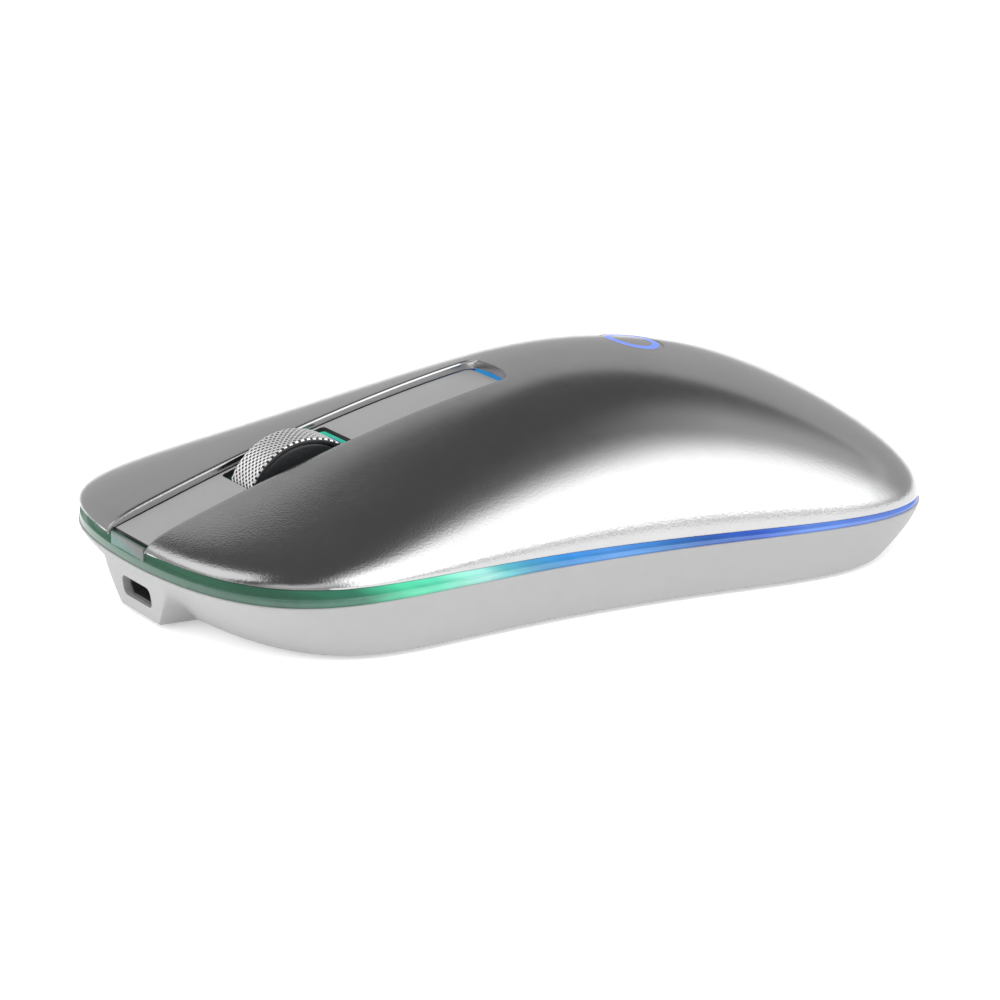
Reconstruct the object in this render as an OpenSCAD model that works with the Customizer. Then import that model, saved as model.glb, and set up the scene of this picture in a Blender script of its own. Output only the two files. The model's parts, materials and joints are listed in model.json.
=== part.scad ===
// Slim rechargeable computer mouse with a light band between cover and base.
// Z is up, the desk is z = 0, the nose with the charging port points to -Y.

/* [Body] */
// Length from nose to tail
body_length = 113; // [111:0.5:118]
// Greatest width
body_width = 62; // [60:0.5:66]
// Height of the palm above the desk
body_height = 28; // [27.5:0.25:30]
// Wall of the top cover
cover_wall = 1.2; // [1:0.05:1.3]
// Wall of the base
base_wall = 1.6; // [1.2:0.1:2]

/* [Slot and strip] */
// Width of the slot between the buttons
slot_width = 10.4; // [10:0.1:11]
// Depth of the strip's face below the cover's face
strip_drop = 1.3; // [1.3:0.05:1.6]

/* [Scroll wheel] */
// Diameter of the wheel over its rim
wheel_diameter = 18.4; // [17.6:0.1:18.6]
// Width of the rim
rim_width = 5.8; // [5:0.1:6.2]
// Turning angle of the wheel's carrier when pressed
carrier_swing = 1.25; // [0.8:0.05:1.25]

/* [Buttons] */
// Angle by which a button bends down at full press
button_swing = 0.7; // [0.4:0.05:0.75]

/* [Palm light] */
// Length of the lit oval across the palm
mark_length = 10.6; // [9:0.2:12]
// Width of the lit oval
mark_width = 7.6; // [6:0.2:9]

/* [Hidden] */
$fn = 48;

// --- plan outline and crown -------------------------------------------------
half_len = body_length / 2;
width_k = body_width / 61.86;
crown_k = (body_height - 8) / (27.98 - 8);
nose_square = 5.54;
tail_square = 4.18;
corner = 2.2;
bow = 1.78;
nose_edge = 45;
tail_edge = 1.9;

// half width of the body at u, where u runs from -1 at the nose to 1 at the tail
function half_w(u) = width_k * (28.82 + 0.84 * u + 10.04 * u * u)
    * pow(max(0, 1 - pow(abs(u), u < 0 ? nose_square : tail_square)), 1 / corner);
// height of the crown line, of the cover's lower edge and of the base's upper edge
function crown(u) = 8 + crown_k * (19.17 + 8.33 * u - 9.58 * u * u - 2.45 * pow(u, 3) + 0.24 * pow(u, 4));
function cover_edge(u) = 8.64 - 1.64 * u;
function base_edge(u) = 7.16 - 0.78 * u;
// how far the crown has fallen off towards the nose and the tail
function end_fall(u) = sqrt(max(0, 1 - pow(abs(u), u < 0 ? nose_edge : tail_edge)));
function rise(s, u) = sqrt(max(0, 1 - pow(abs(s), bow))) * end_fall(u);
function top_z(s, u) = cover_edge(u) + (crown(u) - cover_edge(u)) * rise(s, u);
// stations bunched where the outline turns: r is the share of the full width
function nose_u(r) = -pow(1 - pow(r, corner), 1 / nose_square);
function tail_u(r) = pow(1 - pow(r, corner), 1 / tail_square);

slot_half = slot_width / 2;
slot_end = -2.5;
seam_u = slot_end / half_len;
seam_gap = 0.06;
hinge_z = crown(seam_u) - cover_wall;
lean = tan(button_swing) * 1.1;

nose_rows = [for (i = [0 : 12]) nose_u(0.17 + 0.06 * i)];
finger_rows = concat(nose_rows, [for (i = [1 : 10]) nose_u(0.89) + (seam_u - nose_u(0.89)) * i / 10]);
palm_rows = concat([for (i = [0 : 9]) seam_u + (tail_u(0.9) - seam_u) * i / 10],
    [for (i = [0 : 11]) tail_u(0.9 - 0.075 * i)], [tail_u(0.03)]);

// shrinking factor that insets the outline by d
function shrink_w(d) = (body_width / 2 - d) / (body_width / 2);
function shrink_l(d) = (half_len - d) / half_len;

// --- grids ------------------------------------------------------------------
function quad(a, b, c, d) = [[a, b, c], [a, c, d]];
function flat2(list) = [for (a = list) for (b = a) b];
// triangles of a closed skin made of an outer and an inner grid with nr rows and nc columns
function shell_faces(nr, nc) = let (m = nr * nc) flat2(concat(
    [for (i = [0 : nr - 2]) for (j = [0 : nc - 2])
        quad(i * nc + j, (i + 1) * nc + j, (i + 1) * nc + j + 1, i * nc + j + 1)],
    [for (i = [0 : nr - 2]) for (j = [0 : nc - 2])
        quad(m + i * nc + j, m + i * nc + j + 1, m + (i + 1) * nc + j + 1, m + (i + 1) * nc + j)],
    [for (i = [0 : nr - 2]) quad(i * nc, m + i * nc, m + (i + 1) * nc, (i + 1) * nc)],
    [for (i = [0 : nr - 2])
        quad(i * nc + nc - 1, (i + 1) * nc + nc - 1, m + (i + 1) * nc + nc - 1, m + i * nc + nc - 1)],
    [for (j = [0 : nc - 2]) quad(j, j + 1, m + j + 1, m + j)],
    [for (j = [0 : nc - 2])
        quad((nr - 1) * nc + j + 1, (nr - 1) * nc + j, m + (nr - 1) * nc + j, m + (nr - 1) * nc + j + 1)]));

// a point of the cover's skin: inner skins are the same surface, drawn in by the wall
function skin_z(s, u, wall) = let (h = crown(u) - cover_edge(u))
    cover_edge(u) + (h - wall) * rise(s, u);

// the buttons' skins, running from the slot's side out to the rim
finger_cols = [for (j = [0 : 12]) sin(90 * j / 12)];
function finger_point(u, t, wall) = let (
    w = half_w(u) * shrink_w(wall),
    s = slot_half / w + (1 - slot_half / w) * t,
    z = skin_z(s, u, wall),
    last = u > seam_u - 0.001,
    y = slot_end + (u - seam_u) / (-1 - seam_u) * (-half_len + wall - slot_end))
    [s * w, last ? slot_end - seam_gap - max(0, hinge_z - z) * lean : y, z];
module finger_skin() {
    outer = [for (u = finger_rows) for (t = finger_cols) finger_point(u, t, 0)];
    inner = [for (u = finger_rows) for (t = finger_cols) finger_point(u, t, cover_wall)];
    polyhedron(concat(outer, inner), shell_faces(len(finger_rows), len(finger_cols)), convexity = 6);
}

palm_cols = [for (j = [0 : 24]) sin(-90 + 7.5 * j)];
function palm_point(u, s, wall) = let (
    y = slot_end + (u - seam_u) / (1 - seam_u) * (half_len - wall - slot_end))
    [s * half_w(u) * shrink_w(wall), y, skin_z(s, u, wall)];
module palm_skin() {
    outer = [for (u = palm_rows) for (s = palm_cols) palm_point(u, s, 0)];
    inner = [for (u = palm_rows) for (s = palm_cols) palm_point(u, s, cover_wall)];
    polyhedron(concat(outer, inner), shell_faces(len(palm_rows), len(palm_cols)), convexity = 6);
}

// stations of the closed outline, nose to tail on the left and back on the right
loop_u = concat([for (i = [0 : 10]) nose_u(0.1 + 0.08 * i)],
    [for (i = [1 : 13]) nose_u(0.9) + (tail_u(0.9) - nose_u(0.9)) * i / 14],
    [for (i = [0 : 10]) tail_u(0.9 - 0.08 * i)]);
nu = len(loop_u);
loop_k = [for (i = [0 : nu - 1]) [1, i], for (i = [nu - 1 : -1 : 0]) [-1, i]];
nl = 2 * nu;
function out_x(k) = k[0] * half_w(loop_u[k[1]]);
function out_y(k) = half_len * loop_u[k[1]];
function outline(d) = [for (k = loop_k) [out_x(k) * shrink_w(d), out_y(k) * shrink_l(d)]];

// a ring swept round the outline: section(k) gives its corners as [inset, z], counter-clockwise
module ring_sweep(rows) {
    nc = len(rows[0]);
    pts = flat2(rows);
    faces = flat2([for (i = [0 : nl - 1]) for (j = [0 : nc - 1])
        quad(i * nc + j, i * nc + (j + 1) % nc, ((i + 1) % nl) * nc + (j + 1) % nc, ((i + 1) % nl) * nc + j)]);
    polyhedron(pts, faces, convexity = 6);
}

// --- heights and places inside ----------------------------------------------
floor_z = 0.5;
floor_top = 1.8;
pcb_z = 5;
pcb_top = 6;
pcb_inset = 6;
pcb_rear = 6.5;
wheel_y = -31.4;
wheel_r = wheel_diameter / 2;
wheel_z = crown(wheel_y / half_len) + 1.3 - wheel_r;
opening_front = wheel_y - 9.1;
opening_rear = wheel_y + 6;
axle_d = 2.4;
arm_x = 4.6;
arm_t = 1.2;
pivot_y = -14.5;
pivot_z = 10.5;
pin_d = 2;
press_y = -29.5;
switch_x = 15;
switch_y = -38;
plunger_y = switch_y - 3;
switch_h = 6.4;
plunger_top = pcb_top + switch_h + 0.7;
press_gap = 0.1;
mark_y = 19.6;
port_z = 3.7;
sensor_y = -2;
screw_spots = [[-18, 26], [18, 26], [0, -45.8]];
pcb_screw_spots = [[-18, 0], [18, 0], [-9.5, -44]];

// the strip sinks a little deeper towards its rear end
function strip_z(y) = crown(y / half_len) - strip_drop - 0.3 * max(0, min(1, (y + 26) / 22));

module bar(x0, x1, y0, y1, z0, z1) {
    translate([x0, y0, z0]) cube([x1 - x0, y1 - y0, z1 - z0]);
}
module rod_x(d, x0, x1, y, z) {
    translate([x0, y, z]) rotate([0, 90, 0]) cylinder(d = d, h = x1 - x0);
}
module pill(length, width, height) {
    cylinder_x = (length - width) / 2;
    translate([-cylinder_x, 0, 0]) cylinder(d = width, h = height);
    translate([cylinder_x, 0, 0]) cylinder(d = width, h = height);
    translate([-cylinder_x, -width / 2, 0]) cube([2 * cylinder_x, width, height]);
}
module oval(length, width, height) {
    linear_extrude(height) polygon([for (a = [0 : 10 : 350]) [cos(a) * length / 2, sin(a) * width / 2]]);
}

// --- cover ------------------------------------------------------------------
// height of the cover's inner face above a point
function post_roof(x, y) = skin_z(x / (half_w(y / half_len) * shrink_w(cover_wall)), y / half_len, cover_wall);
module palm_cover() {
    color("silver") {
        difference() {
            palm_skin();
            translate([0, mark_y, body_height - 6]) oval(mark_length + 0.1, mark_width + 0.1, 8);
        }
        for (p = [screw_spots[0], screw_spots[1]]) {
            translate([p[0], p[1], pcb_top + 0.3]) difference() {
                cylinder(d = 5, h = post_roof(abs(p[0]) + 2.5, p[1] + 2.5) - pcb_top - 0.3 + 0.5);
                translate([0, 0, -1]) cylinder(d = 2, h = 6);
            }
        }
    }
}
module button_post(side) {
    roof = post_roof(switch_x + 1.7, plunger_y);
    translate([side * switch_x, plunger_y, plunger_top + press_gap])
        cylinder(d = 3.4, h = roof - plunger_top - press_gap + 0.45);
}
module left_button() {
    color("silver") {
        finger_skin();
        button_post(1);
    }
}
module right_button() {
    color("silver") {
        mirror([1, 0, 0]) finger_skin();
        button_post(-1);
    }
}
// crown line with the fall-off towards the tail, near the mark
function palm_z(y) = top_z(0, y / half_len);
module palm_light_window() {
    lens = concat([for (i = [-5 : 5]) [i, palm_z(mark_y + i) - 0.55]], [for (i = [5 : -1 : -5]) [i, palm_z(mark_y + i) - 1.9]]);
    color("royalblue") translate([0, mark_y, 0]) intersection() {
        translate([0, 0, body_height - 6]) oval(mark_length, mark_width, 8);
        translate([-10, 0, 0]) rotate([90, 0, 90]) linear_extrude(20) polygon(lens);
    }
}

// --- centre strip -----------------------------------------------------------
strip_front = -55.5;
strip_rear = slot_end - 0.5;
strip_t = 0.6;
strip_ys = [for (i = [0 : 14]) strip_front + (strip_rear - strip_front) * i / 14];
// the strip's underside stays above the light band's inner wall at the nose
function strip_back(y) = max(strip_z(y) - strip_t, cover_edge(-1) + 0.15);
function guide_face(y) = strip_z(y) - strip_t - 0.02;
module side_prism(width, outline) {
    translate([-width / 2, 0, 0]) rotate([90, 0, 90]) linear_extrude(width) polygon(outline);
}
module strip_feet(d) {
    translate([screw_spots[2][0], screw_spots[2][1], pcb_top + 0.1]) cylinder(d = 5 + 2 * d, h = 12);
    for (s = [-1, 1]) bar(s * 3.2 - 0.8 - d, s * 3.2 + 0.8 + d, -10.6 - d, -9 + d, pcb_top + 0.1, body_height);
}
module centre_strip() {
    face = [for (y = strip_ys) [y, strip_z(y)]];
    back = [for (i = [14 : -1 : 0]) [strip_ys[i], strip_back(strip_ys[i])]];
    middle = [for (y = strip_ys) [y, strip_z(y) - 0.3]];
    color("lightgray") difference() {
        union() {
            side_prism(slot_width - 0.4, concat(face, back));
            intersection() {
                side_prism(slot_width, concat(middle, [[strip_rear, 0], [strip_front, 0]]));
                strip_feet(0);
            }
        }
        bar(-4.3, 4.3, opening_front, opening_rear, 10, body_height);
        translate([screw_spots[2][0], screw_spots[2][1], pcb_top - 1]) cylinder(d = 2, h = 4.4);
    }
}
// glowing plate under the strip, seen in the wheel's opening and past the strip's rear end
guide_ys = [for (i = [0 : 12]) -52 + (slot_end + 0.4 + 52) * i / 12];
module strip_light_guide() {
    face = [for (y = guide_ys) [y, guide_face(y)]];
    back = [for (i = [12 : -1 : 0]) [guide_ys[i], guide_face(guide_ys[i]) - 0.9]];
    color("mediumturquoise") difference() {
        side_prism(slot_width - 0.6, concat(face, back));
        bar(-4.3, 4.3, opening_front - 0.4, opening_rear + 0.7, 10, body_height);
        strip_feet(0.1);
    }
}

// --- light band -------------------------------------------------------------
function ring_section(k) = let (
    u = loop_u[k[1]], low = base_edge(u) + 0.03, high = cover_edge(u), mid = low + 0.5 * (high - low))
    [for (c = [[0.15, low], [0.15, mid], [3.2, mid], [3.2, high + 0.1], [4.2, high + 0.1], [4.2, low]])
        [out_x(k) * shrink_w(c[0]), out_y(k) * shrink_l(c[0]), c[1]]];
module light_ring() {
    color("mediumseagreen") {
        ring_sweep([for (k = loop_k) ring_section(k)]);
        bar(-4.7, 4.7, -half_len + 0.3, -half_len + 0.65, cover_edge(-1) - 1.4, cover_edge(-1) + 0.75);
    }
}

// --- base -------------------------------------------------------------------
nose_tuck = 7.2;
tail_tuck = 7;
// inset of the undercut at height share f
function tuck(y, f) = y < 0 ? nose_tuck * pow(1 - f, 1.25) : tail_tuck * pow(1 - f, 1.5);
// the front half also draws in sideways, close to the floor
function narrow(y, f) = 1 - 0.03 * pow(1 - f, 4) * max(0, min(1, -y / 30));
function base_point(k, f, d, z) = let (y = out_y(k))
    [out_x(k) * shrink_w(d) * narrow(y, f), y * shrink_l(d + tuck(y, f)), z];
function base_z(k, f) = floor_z + f * (base_edge(loop_u[k[1]]) - floor_z);
outer_f = [0, 0.08, 0.3, 0.6, 1];
inner_f = [1, 0.6, 0.2];
base_cols = len(outer_f) + len(inner_f);
function base_column(k) = concat([for (f = outer_f) base_point(k, f, 0, base_z(k, f))],
    [for (f = inner_f) base_point(k, f, base_wall, f == 0.2 ? floor_top : base_z(k, f))]);
module base_tub() {
    pts = flat2([for (k = loop_k) base_column(k)]);
    nc = base_cols;
    walls = [for (i = [0 : nl - 1]) for (j = [0 : nc - 2])
        quad(i * nc + j, i * nc + j + 1, ((i + 1) % nl) * nc + j + 1, ((i + 1) % nl) * nc + j)];
    caps = [for (i = [0 : nu - 2]) quad(i * nc, (i + 1) * nc, (nl - 2 - i) * nc, (nl - 1 - i) * nc)];
    lids = [for (i = [0 : nu - 2])
        quad(i * nc + nc - 1, (nl - 1 - i) * nc + nc - 1, (nl - 2 - i) * nc + nc - 1, (i + 1) * nc + nc - 1)];
    polyhedron(pts, flat2(concat(walls, caps, lids)), convexity = 6);
}
module chin() {
    intersection() {
        translate([0, -47, 0]) rotate([90, 0, 0]) linear_extrude(10)
            polygon([[-5.4, floor_z], [5.4, floor_z], [9.1, 5.4], [9.1, 7.3], [-9.1, 7.3], [-9.1, 5.4]]);
        translate([-10, 0, 0]) rotate([90, 0, 90]) linear_extrude(20)
            polygon([[-54.5, floor_z], [-55.5, 7.3], [-48, 7.3], [-48, floor_z]]);
    }
}
module base_shell() {
    color("gainsboro") difference() {
        union() {
            base_tub();
            chin();
            for (p = screw_spots) translate([p[0], p[1], floor_top - 0.4]) cylinder(d = 5.4, h = pcb_z - floor_top + 0.2);
            for (p = pcb_screw_spots) translate([p[0], p[1], floor_top - 0.4]) cylinder(d = 4.4, h = pcb_z - floor_top + 0.3);
            for (s = [-1, 1]) bar(s * 8 - 1, s * 8 + 1, 10, 38, floor_top - 0.4, 3.1);
        }
        translate([0, -53.2, port_z]) rotate([90, 0, 0]) translate([0, 0, -6.2]) pill_xz();
        bar(-4.4, 4.4, -54.2, -47.6, 1.9, 7.4);
        bar(-10, 10, -51.3, -40, 4.7, 8);
        translate([0, sensor_y, -1]) pill(9, 6, 4);
        bar(10.2, 17.8, -21.7, -18.3, -1, 4);
        for (p = screw_spots) {
            translate([p[0], p[1], -1]) cylinder(d = 2.2, h = 8);
            translate([p[0], p[1], -1]) cylinder(d = 3.8, h = 3);
        }
        for (p = pcb_screw_spots) translate([p[0], p[1], floor_top + 0.4]) cylinder(d = 1.9, h = 6);
    }
}
module pill_xz() {
    for (x = [-3.1, 3.1]) for (z = [-0.4, 0.4]) translate([x, z, 0]) cylinder(r = 0.95, h = 12);
    translate([-3.1, -1.35, 0]) cube([6.2, 2.7, 12]);
    translate([-4.05, -0.4, 0]) cube([8.1, 0.8, 12]);
}
module glide_feet() {
    color("whitesmoke") {
        translate([0, -36, 0]) pill(26, 5, floor_z - 0.01);
        translate([0, 33, 0]) pill(22, 5, floor_z - 0.01);
    }
}

// --- charging port ----------------------------------------------------------
module port_outline(d) {
    polygon([[-3.75 + d, 1.25 - d], [3.75 - d, 1.25 - d], [3.75 - d, 0.1], [2.9 - d, -1.25 + d], [-2.9 + d, -1.25 + d], [-3.75 + d, 0.1]]);
}
module usb_shell() {
    color("dimgray") translate([0, -48.6, port_z]) rotate([90, 0, 0]) difference() {
        linear_extrude(5.5) port_outline(0);
        translate([0, 0, 0.4]) linear_extrude(6) port_outline(0.3);
    }
}
module usb_tongue() {
    color("black") bar(-1.9, 1.9, -53.2, -49.05, port_z + 0.1, port_z + 0.75);
}

// --- scroll wheel -----------------------------------------------------------
module wheel_rim() {
    c = 0.5;
    color("silver") translate([0, wheel_y, wheel_z]) rotate([0, 90, 0]) rotate_extrude($fn = 96)
        polygon([[wheel_r - 0.8, -rim_width / 2], [wheel_r - c, -rim_width / 2], [wheel_r, -rim_width / 2 + c],
            [wheel_r, rim_width / 2 - c], [wheel_r - c, rim_width / 2], [wheel_r - 0.8, rim_width / 2]]);
}
module wheel_hub() {
    r = wheel_r - 0.82;
    color("#202224") difference() {
        union() {
            rod_x(2 * r, -rim_width / 2 + 0.15, rim_width / 2 - 0.15, wheel_y, wheel_z);
            rod_x(5, -rim_width / 2 - 0.6, rim_width / 2 + 0.6, wheel_y, wheel_z);
        }
        rod_x(axle_d + 0.04, -10, 10, wheel_y, wheel_z);
    }
}
module wheel_axle() {
    color("gray") rod_x(axle_d, -6.4, 9.6, wheel_y, wheel_z);
}
module encoder_body() {
    color("#2b2d30") translate([0, 0, wheel_z]) difference() {
        bar(6.1, 9.3, wheel_y - 3.8, wheel_y + 3.8, -3.6, 2.9);
        rod_x(5.1, 5, 11, wheel_y, 0);
    }
}
module encoder_rotor() {
    color("ivory") difference() {
        rod_x(5, 6.2, 9.2, wheel_y, wheel_z);
        rod_x(axle_d + 0.04, 5, 11, wheel_y, wheel_z);
    }
}
module wheel_carrier() {
    color("#3a3d42") difference() {
        union() {
            for (s = [-1, 1]) {
                x0 = s > 0 ? arm_x : -arm_x - arm_t;
                rod_x(5.6, x0, x0 + arm_t, wheel_y, wheel_z);
                bar(x0, x0 + arm_t, wheel_y, pivot_y + 1, wheel_z - 2.6, wheel_z + 1);
                rod_x(5, x0, x0 + arm_t, pivot_y, pivot_z);
            }
            bar(-arm_x - 0.1, arm_x + 0.1, pivot_y - 2, pivot_y + 2, pivot_z - 2, pivot_z + 2);
            bar(-arm_x - 1.2, -arm_x, press_y - 1, press_y + 1, 9, wheel_z);
        }
        rod_x(axle_d + 0.1, -10, 10, wheel_y, wheel_z);
        rod_x(pin_d + 0.1, -10, 10, pivot_y, pivot_z);
    }
}
module carrier_pin() {
    color("silver") rod_x(pin_d, -7.8, 7.8, pivot_y, pivot_z);
}
module wheel_bracket() {
    color("#55585c") difference() {
        union() {
            bar(-7.8, 7.8, -17, -12, pcb_top + 0.02, pcb_top + 0.9);
            for (s = [-1, 1]) {
                x0 = s > 0 ? 6.4 : -7.6;
                bar(x0, x0 + 1.2, -17, -12, pcb_top + 0.5, pivot_z);
                rod_x(5, x0, x0 + 1.2, pivot_y, pivot_z);
            }
        }
        rod_x(pin_d + 0.04, -10, 10, pivot_y, pivot_z);
    }
}

// --- board ------------------------------------------------------------------
module main_pcb() {
    color("darkgreen") difference() {
        intersection() {
            translate([0, 0, pcb_z]) linear_extrude(pcb_top - pcb_z) polygon(outline(pcb_inset));
            bar(-40, 40, -60, pcb_rear, 0, 10);
        }
        bar(-4.3, 4.3, wheel_y - wheel_r - 0.9, wheel_y + wheel_r + 0.9, 0, 10);
        translate([0, sensor_y, 0]) pill(8, 5, 10);
        for (p = pcb_screw_spots) translate([p[0], p[1], 0]) cylinder(d = 2.2, h = 10);
        translate([0, screw_spots[2][1], 0]) cylinder(d = 2.2, h = 10);
    }
}
module click_switch(side) {
    translate([side * switch_x, switch_y, pcb_top + 0.02]) difference() {
        bar(-2.9, 2.9, -6.4, 6.4, 0, switch_h);
        translate([0, plunger_y - switch_y, 3]) cylinder(d = 2.3, h = 5);
    }
}
module click_plunger(side) {
    translate([side * switch_x, plunger_y, pcb_top + 4]) cylinder(d = 2.1, h = plunger_top - pcb_top - 4);
}
module left_switch() {
    color("#1d1f22") click_switch(1);
}
module right_switch() {
    color("#1d1f22") click_switch(-1);
}
module left_plunger() {
    color("firebrick") click_plunger(1);
}
module right_plunger() {
    color("firebrick") click_plunger(-1);
}
module middle_switch() {
    color("#1d1f22") translate([-arm_x - 1.2, press_y, pcb_top + 0.02]) difference() {
        bar(-2.2, 1.3, -2.2, 2.2, 0, 2);
        translate([0, 0, 0.5]) cylinder(d = 1.9, h = 3);
    }
}
module middle_plunger() {
    color("firebrick") translate([-arm_x - 1.2, press_y, pcb_top + 1]) cylinder(d = 1.7, h = 9 - pcb_top - 1 - press_gap);
}
module battery() {
    color("lightsteelblue") translate([0, 24.5, 3.2]) linear_extrude(5.4) {
        square([22, 30], center = true);
        square([20, 32], center = true);
        for (x = [-10, 10]) for (y = [-15, 15]) translate([x, y]) circle(r = 1);
    }
}
module battery_lead() {
    color("crimson") {
        bar(7, 12, 1.5, 4.5, pcb_top + 0.02, pcb_top + 2.6);
        for (x = [8.4, 10.4]) rod_y(1, x, 4, 8.4, pcb_top + 1.3);
    }
}
module rod_y(d, x, y0, y1, z) {
    translate([x, y1, z]) rotate([90, 0, 0]) cylinder(d = d, h = y1 - y0);
}
module sensor_chip() {
    color("#17181a") translate([0, sensor_y, pcb_top + 0.02]) difference() {
        bar(-5.2, 5.2, -5, 6, 0, 2.2);
        translate([0, 0, -1]) cylinder(d = 2, h = 2);
    }
}
module sensor_lens() {
    color("lightcyan") translate([0, sensor_y, 0]) {
        translate([0, 0, floor_top + 0.1]) pill(11, 8, 1.1);
        translate([0, 0, floor_top + 1]) pill(7.6, 4.6, pcb_top - 0.1 - floor_top - 1);
    }
}
module controller_chip() {
    color("#17181a") bar(8, 14, -30, -24, pcb_top + 0.02, pcb_top + 0.95);
}
led_spots = [[-20, -36, 0], [20, -36, 0], [-22.4, -14, 0], [22.4, -14, 0], [-10, -47.6, 90], [10, -47.6, 90]];
module band_leds() {
    color("white") for (p = led_spots)
        translate([p[0], p[1], pcb_top + 0.02]) rotate([0, 0, p[2]]) translate([-0.8, -1.5, 0]) cube([1.6, 3, 1]);
}
module mark_light_board() {
    board_z = body_height - 4.8;
    color("darkgreen") translate([0, mark_y, board_z]) {
        pill(19, 7, 0.8);
        bar(-1.5, 1.5, -1, 1, 0.79, 1.6);
        for (s = [-1, 1]) translate([s * 7.6, 0, 0.5]) cylinder(d = 2, h = post_roof(8.6, mark_y + 1) - board_z - 0.6);
    }
}
module power_switch_body() {
    color("gray") difference() {
        bar(9.6, 18.4, -21.8, -18.2, 2.9, pcb_z - 0.02);
        bar(11.4, 16.6, -20.9, -19.1, 2, 4.2);
    }
}
module power_slider() {
    color("black") {
        bar(11.6, 14.2, -20.8, -19.2, 0.9, 4);
    }
}

// --- fasteners --------------------------------------------------------------
module case_screws() {
    color("gray") for (p = screw_spots) translate([p[0], p[1], 0.9]) difference() {
        union() {
            cylinder(d = 3.6, h = 1.08);
            translate([0, 0, 1]) cylinder(d = 1.9, h = 7.4);
        }
        translate([0, 0, -0.1]) rotate([0, 0, 45]) cylinder(d = 1.6, h = 0.8, $fn = 4);
    }
}
module pcb_screws() {
    color("gray") for (p = pcb_screw_spots) translate([p[0], p[1], pcb_top]) difference() {
        union() {
            translate([0, 0, 0.02]) cylinder(d = 3.4, h = 1.1);
            translate([0, 0, -3.6]) cylinder(d = 1.8, h = 3.8);
        }
        translate([0, 0, 0.5]) rotate([0, 0, 45]) cylinder(d = 1.5, h = 1, $fn = 4);
    }
}

palm_cover();
left_button();
right_button();
palm_light_window();
centre_strip();
strip_light_guide();
light_ring();
base_shell();
usb_shell();
usb_tongue();
wheel_rim();
wheel_hub();
wheel_axle();
encoder_body();
encoder_rotor();
wheel_carrier();
carrier_pin();
wheel_bracket();
main_pcb();
left_switch();
right_switch();
middle_switch();
left_plunger();
right_plunger();
middle_plunger();
battery();
battery_lead();
sensor_chip();
sensor_lens();
controller_chip();
band_leds();
mark_light_board();
power_switch_body();
power_slider();
glide_feet();
case_screws();
pcb_screws();
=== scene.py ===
"""Looks of the slim computer mouse: smooth cover, lit band, knurled wheel and studio light."""
import json
import math

import bmesh
import bpy
import numpy as np
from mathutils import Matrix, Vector


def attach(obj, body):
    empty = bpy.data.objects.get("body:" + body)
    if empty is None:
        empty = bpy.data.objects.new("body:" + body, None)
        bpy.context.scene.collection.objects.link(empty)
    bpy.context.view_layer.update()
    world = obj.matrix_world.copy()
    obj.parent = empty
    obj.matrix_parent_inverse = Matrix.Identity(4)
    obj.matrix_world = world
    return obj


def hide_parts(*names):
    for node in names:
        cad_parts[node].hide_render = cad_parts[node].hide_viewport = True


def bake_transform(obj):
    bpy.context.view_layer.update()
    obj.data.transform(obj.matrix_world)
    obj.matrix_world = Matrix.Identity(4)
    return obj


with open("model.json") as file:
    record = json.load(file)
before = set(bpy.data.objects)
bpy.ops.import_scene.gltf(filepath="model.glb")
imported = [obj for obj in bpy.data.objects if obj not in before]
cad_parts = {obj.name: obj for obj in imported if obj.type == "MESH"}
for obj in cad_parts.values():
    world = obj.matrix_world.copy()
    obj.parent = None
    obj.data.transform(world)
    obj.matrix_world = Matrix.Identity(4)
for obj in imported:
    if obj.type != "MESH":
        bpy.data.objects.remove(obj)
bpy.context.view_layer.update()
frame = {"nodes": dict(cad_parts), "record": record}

# ---------------------------------------------------------------------------
# The shape's formulas, as in the CAD source, in millimetres
# ---------------------------------------------------------------------------
MM = 0.001
HALF_L, HALF_W, HEIGHT = 56.5, 31.0, 28.0
WIDTH_K = 62 / 61.86
CROWN_K = (HEIGHT - 8) / (27.98 - 8)
NOSE_SQ, TAIL_SQ, CORNER, BOW = 5.54, 4.18, 2.2, 1.78
NOSE_EDGE, TAIL_EDGE = 45, 1.9
WALL = 1.2
SLOT_HALF, SLOT_END, SLOT_ROUND = 5.2, -2.5, 1.8
WHEEL_Y, WHEEL_R, RIM_W = -31.4, 9.2, 5.8
WHEEL_RISE = 1.3
MARK_Y, MARK_L, MARK_W = 19.6, 10.6, 7.6
# share of the half width where the rows change from even steps in y to even steps in x
END_SHARE = 0.9


def half_w(u):
    """Half width of the outline at u, which runs from -1 at the nose to 1 at the tail."""
    u = np.asarray(u, float)
    b = WIDTH_K * (28.82 + 0.84 * u + 10.04 * u * u)
    m = np.where(u < 0, NOSE_SQ, TAIL_SQ)
    return b * np.maximum(0, 1 - np.abs(u) ** m) ** (1 / CORNER)


def crown(u):
    """Height of the cover on the middle line."""
    return 8 + CROWN_K * (19.17 + 8.33 * u - 9.58 * u**2 - 2.45 * u**3 + 0.24 * u**4)


def cover_edge(u):
    """Height of the cover's rim."""
    return 8.64 - 1.64 * u


def base_edge(u):
    """Height of the base's upper edge."""
    return 7.16 - 0.78 * u


def end_fall(u):
    """Share of the crown left at u, falling to 0 at both ends."""
    u = np.asarray(u, float)
    return np.sqrt(np.maximum(0, 1 - np.abs(u) ** np.where(u < 0, NOSE_EDGE, TAIL_EDGE)))


def rise(s, u):
    """Share of the height over the rim at s, the share of the half width."""
    return np.sqrt(np.maximum(0, 1 - np.abs(s) ** BOW)) * end_fall(u)


def skin_z(s, u, wall=0.0):
    """Height of the cover's outside, or of its inside with wall given."""
    return cover_edge(u) + (crown(u) - cover_edge(u) - wall) * rise(s, u)


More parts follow.
